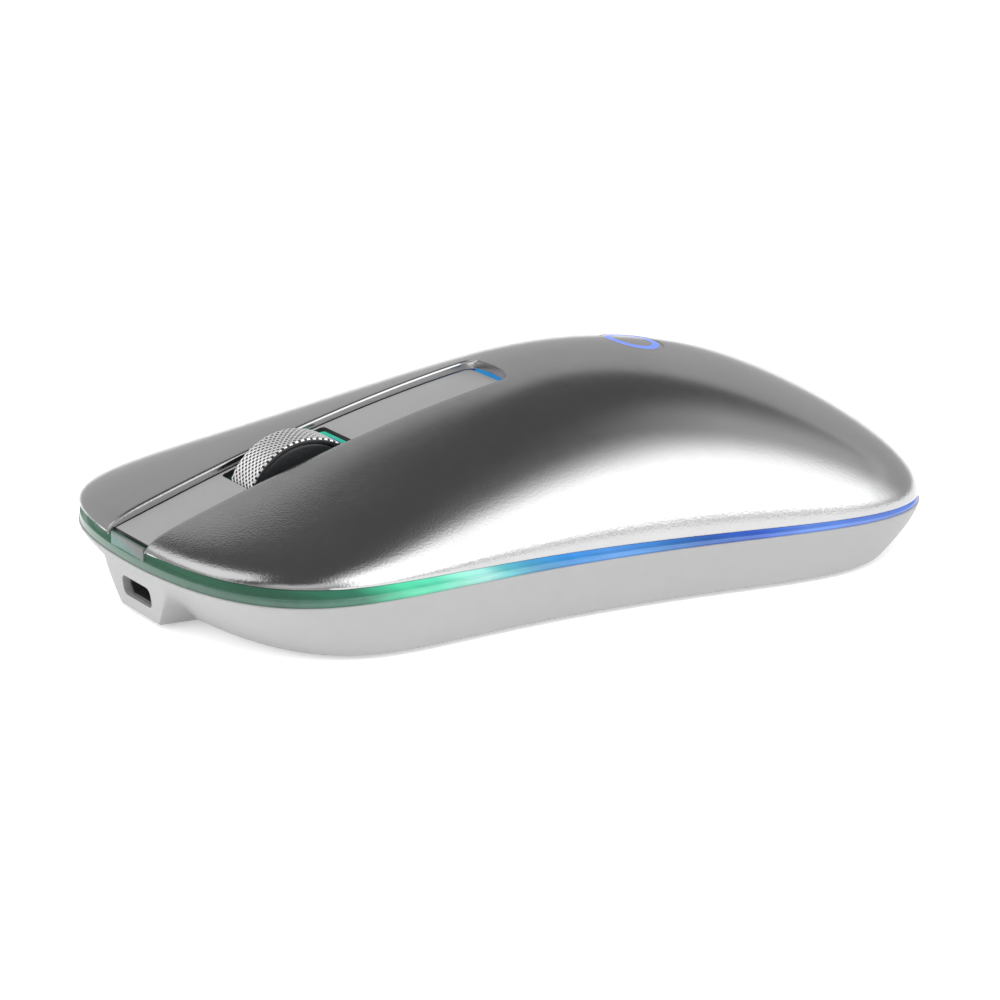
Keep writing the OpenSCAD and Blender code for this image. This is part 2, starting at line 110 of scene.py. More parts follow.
def nose_u(r):
    """The u in the nose where the outline is at the share r of its full half width."""
    return -((1 - np.asarray(r, float) ** CORNER) ** (1 / NOSE_SQ))


def tail_u(r):
    """The same in the tail."""
    return (1 - np.asarray(r, float) ** CORNER) ** (1 / TAIL_SQ)


def shrink_w(d):
    """Scale across that moves the widest point in by d."""
    return (HALF_W - d) / HALF_W


def shrink_l(d):
    """Scale along that moves both ends in by d."""
    return (HALF_L - d) / HALF_L


WHEEL_Z = float(crown(WHEEL_Y / HALF_L)) + WHEEL_RISE - WHEEL_R
SEAM_U = SLOT_END / HALF_L
# half width that the outline's formula has at the nose before the corners take it in
NOSE_HALF = 37.96


# ---------------------------------------------------------------------------
# Mesh helpers
# ---------------------------------------------------------------------------
def add_mesh(name, points, faces, smooth=True):
    """A new object from points in millimetres."""
    mesh = bpy.data.meshes.new(name)
    mesh.from_pydata([tuple(p) for p in np.asarray(points, float) * MM], [], faces)
    mesh.validate()
    obj = bpy.data.objects.new(name, mesh)
    bpy.context.scene.collection.objects.link(obj)
    bm = bmesh.new()
    bm.from_mesh(mesh)
    bmesh.ops.recalc_face_normals(bm, faces=bm.faces)
    for f in bm.faces:
        f.smooth = smooth
    bm.to_mesh(mesh)
    bm.free()
    return obj


def tube_faces(rows, cols, start=0):
    """Quads of rows of closed loops."""
    out = []
    for i in range(rows - 1):
        for j in range(cols):
            a, b = start + i * cols + j, start + i * cols + (j + 1) % cols
            out.append((a, b, b + cols, a + cols))
    return out


def lofted(name, sections):
    """A closed solid through closed sections, with a face over each end."""
    rows, cols = len(sections), len(sections[0])
    faces = tube_faces(rows, cols)
    faces.append(tuple(range(cols))[::-1])
    faces.append(tuple((rows - 1) * cols + j for j in range(cols)))
    return add_mesh(name, np.vstack(sections), faces)


def ringed(name, sections):
    """A closed ring through closed sections."""
    rows, cols = len(sections), len(sections[0])
    faces = tube_faces(rows, cols)
    last = (rows - 1) * cols
    faces += [(last + j, last + (j + 1) % cols, (j + 1) % cols, j) for j in range(cols)]
    return add_mesh(name, np.vstack(sections), faces)


def lathe_x(name, profile, y, z, steps=128):
    """A closed (x, r) profile turned about an axis along X."""
    out = []
    for k in range(steps):
        a = 2 * math.pi * k / steps
        out.append(np.array([[x, y + r * math.cos(a), z + r * math.sin(a)] for x, r in profile]))
    return ringed(name, out)


def box_mesh(name, lo, hi, bevel):
    """A box between two corners, with bevelled edges."""
    pts = [(x, y, z) for x in (lo[0], hi[0]) for y in (lo[1], hi[1]) for z in (lo[2], hi[2])]
    faces = [(0, 1, 3, 2), (4, 6, 7, 5), (0, 4, 5, 1), (2, 3, 7, 6), (0, 2, 6, 4), (1, 5, 7, 3)]
    obj = add_mesh(name, pts, faces, smooth=False)
    soften(obj, bevel)
    return obj


def apply_modifiers(obj):
    """Replaces the mesh with what its modifiers make of it."""
    graph = bpy.context.evaluated_depsgraph_get()
    mesh = bpy.data.meshes.new_from_object(obj.evaluated_get(graph))
    obj.modifiers.clear()
    obj.data = mesh


def soften(obj, width, segments=2, angle=35):
    """Rounds the sharp edges of a mesh."""
    m = obj.modifiers.new("bevel", "BEVEL")
    m.width, m.segments, m.limit_method = width * MM, segments, "ANGLE"
    m.angle_limit = math.radians(angle)
    apply_modifiers(obj)
    shade(obj)


def shade(obj, angle=32):
    """Smooth shading with sharp edges kept."""
    mesh = obj.data
    bm = bmesh.new()
    bm.from_mesh(mesh)
    for f in bm.faces:
        f.smooth = True
    for e in bm.edges:
        if len(e.link_faces) == 2:
            e.smooth = e.calc_face_angle(0) < math.radians(angle)
    bm.to_mesh(mesh)
    bm.free()


def cut(obj, cutter):
    """Subtracts one solid from another and removes the cutter."""
    m = obj.modifiers.new("cut", "BOOLEAN")
    m.operation, m.solver, m.object = "DIFFERENCE", "EXACT", cutter
    apply_modifiers(obj)
    bpy.data.objects.remove(cutter)


def join(objs):
    """Joins meshes into the first one, keeping each one's materials."""
    first = objs[0]
    bpy.ops.object.select_all(action="DESELECT")
    for o in objs:
        o.select_set(True)
    bpy.context.view_layer.objects.active = first
    bpy.ops.object.join()
    return first


def prism(name, outline, axis, lo, hi):
    """A closed outline of (a, b) pairs swept along x, y or z."""
    place = {
        "x": lambda a, b, t: (t, a, b),
        "y": lambda a, b, t: (a, t, b),
        "z": lambda a, b, t: (a, b, t),
    }[axis]
    return lofted(name, [np.array([place(a, b, t) for a, b in outline]) for t in (lo, hi)])


def circle(radius, centre, steps):
    """Corner points of a circle."""
    angles = np.linspace(0, 2 * math.pi, steps + 1)[:-1]
    return [(centre[0] + radius * math.cos(t), centre[1] + radius * math.sin(t)) for t in angles]


def rounded(half_a, half_b, radius, centre=(0, 0), steps=6):
    """Corner points of a rounded rectangle."""
    out = []
    for k, (sa, sb) in enumerate([(1, 1), (-1, 1), (-1, -1), (1, -1)]):
        for i in range(steps + 1):
            t = math.radians(90 * k + 90 * i / steps)
            out.append((centre[0] + sa * (half_a - radius) + radius * math.cos(t),
                        centre[1] + sb * (half_b - radius) + radius * math.sin(t)))
    return out


# ---------------------------------------------------------------------------
# Materials
# ---------------------------------------------------------------------------
def srgb(r, g, b):
    """Linear colour from 0-255 display values."""
    def lin(v):
        v /= 255
        return v / 12.92 if v <= 0.04045 else ((v + 0.055) / 1.055) ** 2.4
    return (lin(r), lin(g), lin(b), 1.0)


class Nodes:
    """Short names for building a material's node tree."""

    def __init__(self, name):
        self.mat = bpy.data.materials.new(name)
        self.mat.use_nodes = True
        self.tree = self.mat.node_tree
        self.tree.nodes.clear()
        self.out = self.add("ShaderNodeOutputMaterial")
        self.bsdf = self.add("ShaderNodeBsdfPrincipled")
        self.link(self.bsdf.outputs[0], self.out.inputs[0])
        self.coord = self.add("ShaderNodeTexCoord").outputs["Object"]

    def add(self, kind, **values):
        node = self.tree.nodes.new(kind)
        for key, value in values.items():
            if hasattr(node, key):
                setattr(node, key, value)
            else:
                node.inputs[key].default_value = value
        return node

    def link(self, a, b):
        self.tree.links.new(a, b)

    def noise(self, size_mm, detail=2.0, rough=0.5):
        n = self.add("ShaderNodeTexNoise", Scale=1 / (size_mm * MM), Detail=detail, Roughness=rough)
        self.link(self.coord, n.inputs["Vector"])
        return n.outputs["Fac"]

    def place(self):
        """The object's x, y and z."""
        n = self.add("ShaderNodeSeparateXYZ")
        self.link(self.coord, n.inputs[0])
        return n.outputs

    def fill(self, n, values):
        """Sets or links a node's inputs in order."""
        for socket, value in zip(n.inputs, values):
            if isinstance(value, (int, float, tuple)):
                socket.default_value = value
            else:
                self.link(value, socket)

    def math(self, kind, *values):
        n = self.add("ShaderNodeMath", operation=kind)
        self.fill(n, values)
        return n.outputs[0]

    def vector(self, kind, *values):
        n = self.add("ShaderNodeVectorMath", operation=kind)
        self.fill(n, values)
        return n.outputs["Value" if kind == "LENGTH" else "Vector"]

    def span(self, value, lo, hi, from_lo=0.3, from_hi=0.7):
        """Maps a value from one range to another; noise mostly lies in the default one."""
        n = self.add("ShaderNodeMapRange")
        self.fill(n, (value, from_lo, from_hi, lo, hi))
        return n.outputs["Result"]

    def ramp(self, value, stops):
        """Colour by value, through stops of (position, colour)."""
        n = self.add("ShaderNodeValToRGB")
        self.link(value, n.inputs[0])
        elements = n.color_ramp.elements
        while len(elements) < len(stops):
            elements.new(0.5)
        for element, (position, colour) in zip(elements, stops):
            element.position, element.color = position, colour
        return n.outputs["Color"]

    def blend(self, fac, a, b):
        """Colour between a and b; inputs 6 and 7 are the node's colours."""
        n = self.add("ShaderNodeMix", data_type="RGBA")
        n.inputs[6].default_value, n.inputs[7].default_value = a, b
        self.link(fac, n.inputs[0])
        return n.outputs[2]

    def bump(self, height, distance_mm):
        n = self.add("ShaderNodeBump", Strength=1.0, Distance=distance_mm * MM)
        self.link(height, n.inputs["Height"])
        return n.outputs["Normal"]

    def set(self, **values):
        for key, value in values.items():
            socket = self.bsdf.inputs[key.replace("_", " ")]
            if isinstance(value, (int, float, tuple)):
                socket.default_value = value
            else:
                self.link(value, socket)


def surface(name, colour, metallic=0.0, rough=(0.4, 0.5), grain=0.4, depth=0.01, vary=0.06, **more):
    """A moulded, painted or metal surface: grain in the normal, mottling in colour and gloss."""
    n = Nodes(name)
    fine, broad = n.noise(grain, 3), n.noise(grain * 14, 2)
    dark = tuple(c * (1 - vary) for c in colour[:3]) + (1.0,)
    light = tuple(min(1, c * (1 + vary)) for c in colour[:3]) + (1.0,)
    n.set(Base_Color=n.blend(n.span(broad, 0, 1), dark, light), Metallic=metallic,
          Roughness=n.span(fine, *rough), Normal=n.bump(fine, depth))
    n.set(**more)
    return n.mat


def cover_paint():
    """Silver-grey metallic paint, whose fine orange peel shows on the flanks and fades to the top."""
    n = Nodes("cover_paint")
    tone = n.blend(n.span(n.noise(9, 2), 0, 1), (0.485, 0.485, 0.49, 1), (0.515, 0.515, 0.52, 1))
    flank = n.span(n.place()["Z"], 1, 0.15, 12 * MM, 20 * MM)
    peel = n.math("MULTIPLY", n.noise(0.32, 1.5, 0.45), flank)
    n.set(Base_Color=tone, Metallic=1.0, Roughness=n.span(n.noise(1.4), 0.17, 0.2),
          Normal=n.bump(peel, 0.02))
    return n.mat


# colours of the light along the body: y in millimetres, then red, green and blue as displayed; the pale cyan
# stops at -22 and -19 are a painted highlight
BAND_STOPS = [
    (-56, 62, 98, 78), (-46, 50, 88, 70), (-38, 55, 120, 95), (-31, 85, 213, 165), (-26, 100, 226, 185),
    # the pale cyan stops at -22 and -19 are a painted highlight on the band
    (-22, 150, 232, 210), (-19, 165, 230, 222), (-16, 105, 200, 205), (-12, 78, 156, 198), (-6, 58, 140, 216),
    (0, 88, 157, 235), (8, 66, 128, 200), (14, 58, 104, 186), (22, 62, 100, 205), (30, 104, 146, 238),
    (42, 100, 130, 214), (56, 96, 126, 210),
]
# the plate under the strip glows at the wheel's rear and at its own rear end: painted light for the LEDs'
# light that spills inside the shell and lights the wheel's rear
GUIDE_STOPS = [
    (-56, 16, 40, 34), (-34, 14, 34, 30), (-27, 20, 90, 78), (-25, 70, 215, 180), (-22, 60, 190, 165),
    (-16, 20, 70, 90), (-6, 20, 105, 170), (-2, 40, 140, 210),
]
# light across the band, from the base's edge to the cover's: share of the way, strength
ACROSS_STOPS = [
    (0, 1.25), (0.08, 0.85), (0.25, 1.05), (0.5, 0.95), (0.62, 1.12), (0.8, 0.85), (0.93, 0.7), (1, 1.2),
]


def glow(name, strength, stops, streaks=False):
    """Frosted light guide whose colour runs through the stops from nose to tail."""
    n = Nodes(name)
    y = n.place()["Y"]
    along = n.math("MULTIPLY_ADD", n.noise(7, 1), 3 * MM, y)
    first, last = stops[0][0], stops[-1][0]
    share = n.span(along, 0, 1, first * MM, last * MM)
    colour = n.ramp(share, [((at - first) / (last - first), srgb(*rgb)) for at, *rgb in stops])
    n.set(Base_Color=n.blend(n.noise(1.5), (0.02, 0.03, 0.03, 1), (0.04, 0.06, 0.055, 1)),
          Emission_Color=colour, Emission_Strength=across_band(n, y, strength) if streaks else strength,
          Roughness=n.span(n.noise(0.5), 0.16, 0.24), Normal=n.bump(n.noise(1.6), 0.006))
    return n.mat


def across_band(n, y, strength):
    """Strength of the band's light: lines along it, as a clear rod in front of the emitters shows."""
    across = n.add("ShaderNodeAttribute", attribute_name="across").outputs["Fac"]
    levels = [(at, level * strength / 2) for at, level in ACROSS_STOPS]
    lines = n.ramp(across, [(at, (level, level, level, 1)) for at, level in levels])
    place = n.add("ShaderNodeCombineXYZ")
    n.fill(place, (n.span(y, 0, 7, -56 * MM, 56 * MM), n.span(across, 0, 2.2)))
    streak = n.add("ShaderNodeTexNoise", Scale=2.3)
    n.link(place.outputs[0], streak.inputs["Vector"])
    # the ramp holds half the strength, to stay under 1, and the streaks bring it back
    return n.math("MULTIPLY", n.span(streak.outputs[0], 1.75, 2.25, 0.35, 0.65), lines)


def lip_light():
    """The frosted tab of the light guide at the nose: grey, greener towards its foot."""
    n = Nodes("lip_light")
    x, _, z = n.place()
    up = n.span(n.math("MULTIPLY_ADD", x, 0.22, z), 0, 1, 8.6 * MM, 10.8 * MM)
    n.set(Base_Color=n.blend(up, srgb(60, 95, 88), srgb(98, 98, 98)),
          Emission_Color=n.blend(up, srgb(84, 128, 118), srgb(40, 42, 42)), Emission_Strength=0.35,
          Roughness=n.span(n.noise(0.4), 0.35, 0.5), Normal=n.bump(n.noise(0.4), 0.005))
    return n.mat


def strip_plastic():
    """Matt silver-grey plastic with a fine grain."""
    n = Nodes("strip_plastic")
    fine = n.noise(0.22, 3)
    n.set(Base_Color=n.blend(n.span(fine, 0, 1), (0.30, 0.30, 0.303, 1), (0.34, 0.34, 0.343, 1)),
          Metallic=0.25, Roughness=n.span(fine, 0.45, 0.58), Normal=n.bump(fine, 0.006))
    return n.mat


# pits of the knurl: number round the wheel and across it, millimetres between them both ways, and radius of
# the painted shade in each pit
KNURL_ROUND, KNURL_ACROSS = 66, 6
PITCH_ROUND, PITCH_SHADED, PIT_SHADE_R = 0.875, 0.93, 0.2


def rim_metal():
    """Bright metal with painted shade, near black, in the round pits of the knurl, which lie on two shifted
    lattices.
    """
    n = Nodes("rim_metal")
    uv = n.add("ShaderNodeUVMap", uv_map="knurl").outputs["UV"]
    reach = []
    for shift in (0.5, 0.0):
        moved = n.vector("ADD", uv, (shift, shift, 0))
        local = n.vector("SUBTRACT", n.vector("FRACTION", moved), (0.5, 0.5, 0))
        reach.append(n.vector("LENGTH", n.vector("MULTIPLY", local, (PITCH_ROUND, PITCH_SHADED, 0))))
    # the pits' near-black colour and lower metallic are painted shade in the hollows
    deep = n.span(n.math("MINIMUM", *reach), 1, 0, PIT_SHADE_R - 0.03, PIT_SHADE_R + 0.05)
    n.set(Base_Color=n.blend(deep, (0.92, 0.92, 0.92, 1), (0.012, 0.012, 0.012, 1)),
          Metallic=n.span(deep, 0.8, 0.2), Roughness=n.span(n.noise(0.3), 0.24, 0.32),
          Normal=n.bump(n.noise(0.15), 0.003))
    return n.mat


def lit_mark():
    """Blue light behind the oval on the palm."""
    n = Nodes("lit_mark")
    n.set(Base_Color=n.blend(n.noise(2), srgb(60, 80, 190), srgb(80, 105, 215)),
          Emission_Color=n.blend(n.noise(3), srgb(60, 95, 225), srgb(95, 130, 240)), Emission_Strength=0.9,
          Roughness=n.span(n.noise(0.5), 0.25, 0.35))
    return n.mat


# materials by the record's slot names, and three more for parts of a piece
MATS = {
    "cover_paint": cover_paint(),
    "light_guide": glow("band_light", 0.95, BAND_STOPS, streaks=True),
    # the plate's glow is painted light spilled from the LEDs inside the shell
    "plate_light": glow("plate_light", 0.8, GUIDE_STOPS),
    "lip": lip_light(),
    "strip_plastic": strip_plastic(),
    "rim_metal": rim_metal(),
    "lit_window": lit_mark(),
    "base_plastic": surface("base_plastic", (0.35, 0.35, 0.352), rough=(0.42, 0.55), grain=0.18, depth=0.004,
                            vary=0.012),
    "port_metal": surface("port_metal", (0.22, 0.22, 0.225), 0.9, (0.25, 0.4), 0.15, 0.002),
    "black_plastic": surface("black_plastic", (0.022, 0.022, 0.024), 0, (0.4, 0.55), 0.2, 0.006),
    "hub_plastic": surface("hub_plastic", (0.03, 0.031, 0.033), 0, (0.26, 0.34), 0.6, 0.003,
                           Specular_IOR_Level=0.4),
    "pin_steel": surface("pin_steel", (0.55, 0.55, 0.55), 1.0, (0.22, 0.35), 0.1, 0.002),
    "ivory_plastic": surface("ivory_plastic", (0.75, 0.71, 0.6), 0, (0.4, 0.5), 0.3, 0.004),
    "carrier_plastic": surface("carrier_plastic", (0.03, 0.03, 0.033), 0, (0.45, 0.6), 0.2, 0.006),
    "board_green": surface("board_green", (0.02, 0.12, 0.045), 0, (0.2, 0.35), 0.9, 0.01, vary=0.2,
                           Coat_Weight=0.5),
    "plunger_red": surface("plunger_red", (0.5, 0.03, 0.02), 0, (0.25, 0.35), 0.2, 0.003),
    "battery_foil": surface("battery_foil", (0.5, 0.53, 0.58), 0.7, (0.25, 0.4), 1.2, 0.03),
    "lead_red": surface("lead_red", (0.5, 0.02, 0.02), 0, (0.45, 0.6), 0.2, 0.004),
    "clear_lens": surface("clear_lens", (0.8, 0.88, 0.9), 0, (0.05, 0.1), 0.4, 0.001,
                          Transmission_Weight=0.7),
    "led_white": surface("led_white", (0.8, 0.85, 0.8), 0, (0.2, 0.3), 0.3, 0.002),
    "glide_plastic": surface("glide_plastic", (0.78, 0.78, 0.78), 0, (0.3, 0.42), 0.25, 0.004),
}


def paint(obj, *mats):
    """Gives a piece or a CAD node its materials, by name."""
    obj.data.materials.clear()
    for m in mats:
        obj.data.materials.append(MATS[m])


def piece(obj, body, slot, *nodes, mats=None):
    """Finishes a piece that rides on one body."""
    paint(obj, *(mats or [slot]))
    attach(obj, body)
    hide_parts(*nodes)
    return obj


# ---------------------------------------------------------------------------
# Cover: palm and the two flexing fingers
# ---------------------------------------------------------------------------
# rounding of the slot's edge and of the rim
EDGE_R, RIM_R = 0.4, 0.45
# points across a finger's skin and its inside
SKIN_STEPS, INNER_STEPS = 56, 16
# share of the nose's half width where the fingers begin, beside the slot
FINGER_SHARE = 0.157
QUARTER_TURN = [math.radians(22.5 * k) for k in range(5)]


def rim_point(x, y, z, d):
    """A point of the outline moved in by d."""
    return (x * shrink_w(d), y * shrink_l(d), z)


def outer_limit(u):
    """The share of the half width where the skin meets the rim's rounding, and its radius."""
    h = float((crown(u) - cover_edge(u)) * end_fall(u))
    r = min(RIM_R, 0.4 * h)
    return (1 - (r / h) ** 2) ** (1 / BOW), r


def rim_turn(w, y, u, r, wall):
    """Round corner, flat underside and inner corner of the rim, from outside in."""
    z = float(cover_edge(u))
    out = []
    for t in QUARTER_TURN:
        out.append(rim_point(w, y, z + r * (1 - math.sin(t)), r * (1 - math.cos(t))))
    out.append(rim_point(w, y, z, (r + wall) / 2))
    return out


def inner_y(u, end):
    """Where the inside at u lies, so that the wall keeps its thickness towards that end."""
    return SLOT_END + (u - SEAM_U) / (end - SEAM_U) * (end * (HALF_L - WALL) - SLOT_END)


def slot_edge(y):
    """Half width of the slot at y, drawn in round its rear corners."""
    t = y - (SLOT_END - SLOT_ROUND)
    if t <= 0:
        return SLOT_HALF
    return SLOT_HALF - (SLOT_ROUND - math.sqrt(max(0, SLOT_ROUND**2 - t * t)))


def finger_section(u, side):
    """Closed section across one finger: slot edge, skin, rim, then back along the inside."""
    y, w = HALF_L * u, float(half_w(u))
    x0 = slot_edge(y)
    pts = []
    for t in QUARTER_TURN:
        x = x0 + EDGE_R * (1 - math.cos(t))
        pts.append((x, y, float(skin_z(x / w, u)) - EDGE_R * (1 - math.sin(t))))
    limit, r = outer_limit(u)
    s0 = (x0 + EDGE_R) / w
    for k in range(1, SKIN_STEPS + 1):
        s = s0 + (limit - s0) * math.sin(math.pi / 2 * k / SKIN_STEPS)
        pts.append((s * w, y, float(skin_z(s, u))))
    pts += rim_turn(w, y, u, r, WALL)[1:]
    wi, yi = w * shrink_w(WALL), inner_y(u, -1)
    for k in range(INNER_STEPS + 1):
        s = x0 / wi + (1 - x0 / wi) * math.sin(math.pi / 2 * (1 - k / INNER_STEPS))
        pts.append((s * wi, yi, float(skin_z(s, u, WALL))))
    return np.array(pts) * (side, 1, 1)


def finger_rows():
    """The u of each section: close at the nose, even along the finger, round the slot's corner."""
    nose = [float(nose_u(r)) for r in np.linspace(FINGER_SHARE, END_SHARE, 46)]
    turn = SLOT_END - SLOT_ROUND
    middle = list(np.linspace(nose[-1], turn / HALF_L, 64))[1:]
    end = [(turn + SLOT_ROUND * math.sin(math.radians(9 * k))) / HALF_L for k in range(1, 11)]
    return nose + middle + end


def make_finger(name, side, node):
    """One button."""
    obj = lofted(name, [finger_section(u, side) for u in finger_rows()])
    shade(obj, 50)
    paint(obj, "cover_paint")
    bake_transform(obj)
    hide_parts(node)
    return obj


def palm_section(u):
    """Closed section across the palm: skin, rim, inside, rim."""
    y, w = HALF_L * u, float(half_w(u))
    limit, r = outer_limit(u)
    right = rim_turn(w, y, u, r, WALL)[1:]
    left = [(-x, b, z) for x, b, z in right][::-1]
    pts = [(limit * math.sin(t) * w, y, float(skin_z(limit * math.sin(t), u)))
           for t in np.linspace(-math.pi / 2, math.pi / 2, 121)]
    wi, yi = w * shrink_w(WALL), inner_y(u, 1)
    inner = [(math.sin(t) * wi, yi, float(skin_z(math.sin(t), u, WALL)))
             for t in np.linspace(math.pi / 2, -math.pi / 2, 49)]
    return np.array(pts + right + inner + left)


def make_palm():
    """The cover behind the buttons, with the oval opening for the lit window."""
    rows = list(np.linspace(SEAM_U, float(tail_u(END_SHARE)), 64))
    rows += [float(tail_u(r)) for r in np.linspace(END_SHARE, 0.03, 56)][1:]
    obj = lofted("palm_cover", [palm_section(u) for u in rows])
    gap = 0.03
    oval = [(math.cos(t) * (MARK_L / 2 + gap), MARK_Y + math.sin(t) * (MARK_W / 2 + gap))
            for t in np.linspace(0, 2 * math.pi, 97)[:-1]]
    cut(obj, prism("oval", oval, "z", 20, 34))
    shade(obj, 50)
    return piece(obj, "chassis", "cover_paint", "palm_cover")


def make_window():
    """Oval cap flush in the palm, with a lit ring."""
    rings = [0.0001, 0.2, 0.4, 0.6, 0.64, 0.75, 0.86, 0.9, 0.96, 1.0]
    lit_from, lit_to = 0.64, 0.86
    sunk, edge_sunk, depth = 0.03, 0.07, 1.1
    steps = 96
    pts, faces, lit = [], [], []

    def level(rho, drop):
        for k in range(steps):
            t = 2 * math.pi * k / steps
            x, y = rho * MARK_L / 2 * math.cos(t), MARK_Y + rho * MARK_W / 2 * math.sin(t)
            u = y / HALF_L
            pts.append((x, y, float(skin_z(x / half_w(u), u)) - drop))

    for rho in rings:
        level(rho, sunk if rho < 1 else edge_sunk)
    for rho in (1.0, 0.5, 0.0001):
        level(rho, depth)
    count = len(rings) + 3
    for i in range(count - 1):
        for k in range(steps):
            a, b = i * steps + k, i * steps + (k + 1) % steps
            faces.append((a, b, b + steps, a + steps))
            lit.append(i < len(rings) and lit_from <= rings[i] < lit_to)
    faces.append(tuple(range(steps)))
    faces.append(tuple((count - 1) * steps + k for k in range(steps))[::-1])
    lit += [False, False]
    obj = add_mesh("palm_light_window", pts, faces)
    piece(obj, "chassis", "lit_window", "palm_light_window", mats=["cover_paint", "lit_window"])
    for poly, on in zip(obj.data.polygons, lit):
        poly.material_index = 1 if on else 0
    shade(obj, 50)
    return obj


# ---------------------------------------------------------------------------
# Outline stations shared by the light band and the base
# ---------------------------------------------------------------------------
def stations():
    """(side, u) round the outline, nose to tail on one side and back on the other.

    Near the nose they are set by x, close together where the chin's edges lie.
    """
    xs = list(np.linspace(0.25, 4.4, 9)) + list(np.linspace(4.6, 5.1, 4)) + list(np.linspace(5.18, 5.62, 12))
    xs += list(np.linspace(5.7, 7.2, 8)) + list(np.linspace(7.5, 16.5, 19))
    us = [float(nose_u(x / NOSE_HALF)) for x in xs]
    us += [float(nose_u(r)) for r in np.linspace(17.2 / NOSE_HALF, END_SHARE, 28)]
    us += list(np.linspace(us[-1], float(tail_u(END_SHARE)), 76))[1:-1]
    us += [float(tail_u(r)) for r in np.linspace(END_SHARE, 0.01, 56)]
    return [(1, u) for u in us] + [(-1, u) for u in us[::-1]]


STATIONS = stations()


# ---------------------------------------------------------------------------
# Light band
# ---------------------------------------------------------------------------
# how far in from the outline the band's face, its inner step and its back lie
BAND_FACE, BAND_STEP, BAND_BACK = 0.15, 3.2, 4.2
# the frosted tab between the fingers' tips
LIP_HALF, LIP_FRONT, LIP_BACK = 4.65, 0.28 - HALF_L, 0.64 - HALF_L
LIP_LOW, LIP_HIGH = float(cover_edge(-1)) - 1.4, float(cover_edge(-1)) + 0.45


def band_section(side, u):
    """Closed section of the band: a bevelled face below, a step, and a back under the cover."""
    x, y = side * float(half_w(u)), HALF_L * u
    low, high = float(base_edge(u)) + 0.03, float(cover_edge(u))
    mid = low + 0.5 * (high - low)
    c = min(0.14, 0.3 * (mid - low))
    face = BAND_FACE
    corners = [(face + c, low), (face, low + c), (face, mid - c), (face + c * 0.3, mid - c * 0.3),
               (face + c, mid), (BAND_STEP / 2, mid), (BAND_STEP, mid), (BAND_STEP, high + 0.1),
               (BAND_BACK, high + 0.1), (BAND_BACK, low)]
    return np.array([(x * shrink_w(d), y * shrink_l(d), z) for d, z in corners])


def make_band():
    """The band and its front lip; "across" holds each point's place between its two edges."""
    ring = ringed("light_ring", [band_section(*k) for k in STATIONS])
    shade(ring, 35)
    paint(ring, "light_guide")
    lip = box_mesh("lip", (-LIP_HALF, LIP_FRONT, LIP_LOW), (LIP_HALF, LIP_BACK, LIP_HIGH), 0.08)
    paint(lip, "lip")
    join([ring, lip])
    us = [v.co.y / MM / HALF_L for v in ring.data.vertices]
    share = [(v.co.z / MM - float(base_edge(u))) / float(cover_edge(u) - base_edge(u))
             for v, u in zip(ring.data.vertices, us)]
    attribute = ring.data.attributes.new("across", "FLOAT", "POINT")
    attribute.data.foreach_set("value", np.array(share, np.float32))
    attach(ring, "chassis")
    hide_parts("light_ring")
    return ring


# ---------------------------------------------------------------------------
# Base with the chin
# ---------------------------------------------------------------------------
FLOOR_Z = 0.5
# how far in the foot lies at both ends, and how fast the wall gets there
NOSE_TUCK, TAIL_TUCK = 7.2, 7.0
NOSE_BELLY, TAIL_BELLY = 1.25, 1.5
# the chin: half width at the foot, what it gains by CHIN_TOP above the foot, face and its lean
CHIN_HALF, CHIN_SPREAD, CHIN_TOP = 5.4, 3.7, 4.9
CHIN_FACE, CHIN_LEAN = -54.5, -0.7
# columns nearer than this to the middle line, and further forward than this, may be moved for it
CHIN_REACH, CHIN_Y = 17, -50
BASE_WALL, BASE_FLOOR = 1.6, 1.8
FOOT_R, TOP_R = 0.35, 0.2
# openings: half sizes and corner radius, and where they lie
PORT, PORT_Z, PORT_BACK = (4.05, 1.35, 0.95), 3.7, -51.5
LENS_OPENING, LENS_AT = (4.5, 3, 2.95), (0, -2)
KNOB_OPENING, KNOB_AT = (3.8, 1.7, 0.4), (14, -20)
SCREW_R, SCREWS_AT = 1.9, ((-18, 26), (18, 26), (0, -45.8))


def smooth(t):
    """Soft step from 0 to 1."""
    t = np.clip(t, 0, 1)
    return t * t * (3 - 2 * t)


def spread(x, up):
    """Moves the columns near the chin's edge outwards with height, so that one follows the crease."""
    side, x = (1, x) if x >= 0 else (-1, -x)
    inner, outer = x / CHIN_HALF, (CHIN_REACH - x) / (CHIN_REACH - CHIN_HALF - 1)
    share = float(smooth(inner if x < CHIN_HALF else outer))
    return side * (x + CHIN_SPREAD * min(1.0, up) * share)


def base_point(side, u, f, d=0.0, chin=True):
    """Point of the base at the share f of its height, moved in by d, with or without the chin."""
    x, y = side * float(half_w(u)), HALF_L * u
    z = FLOOR_Z + f * (float(base_edge(u)) - FLOOR_Z)
    up = (z - FLOOR_Z) / CHIN_TOP
    if chin and y < CHIN_Y and abs(x) < CHIN_REACH:
        x = spread(x, up)
        y = HALF_L * float(nose_u(abs(x) / NOSE_HALF))
    tuck = NOSE_TUCK * (1 - f) ** NOSE_BELLY if y < 0 else TAIL_TUCK * (1 - f) ** TAIL_BELLY
    px = x * shrink_w(d) * (1 - 0.03 * (1 - f) ** 4 * min(1.0, max(0.0, -y / 30)))
    py = y * shrink_l(d + tuck)
    if chin and y < CHIN_Y:
        half = CHIN_HALF + CHIN_SPREAD * min(1.0, up)
        # the crease is sharp at the foot and fades upwards
        blur = 0.4 + 2.6 * max(0.0, up - 0.35) ** 1.5
        inside = smooth((half + blur / 2 - abs(px)) / blur)
        face = CHIN_FACE + CHIN_LEAN * up
        py = py + float(inside) * (min(py, face) - py)
    return (px, py, z)


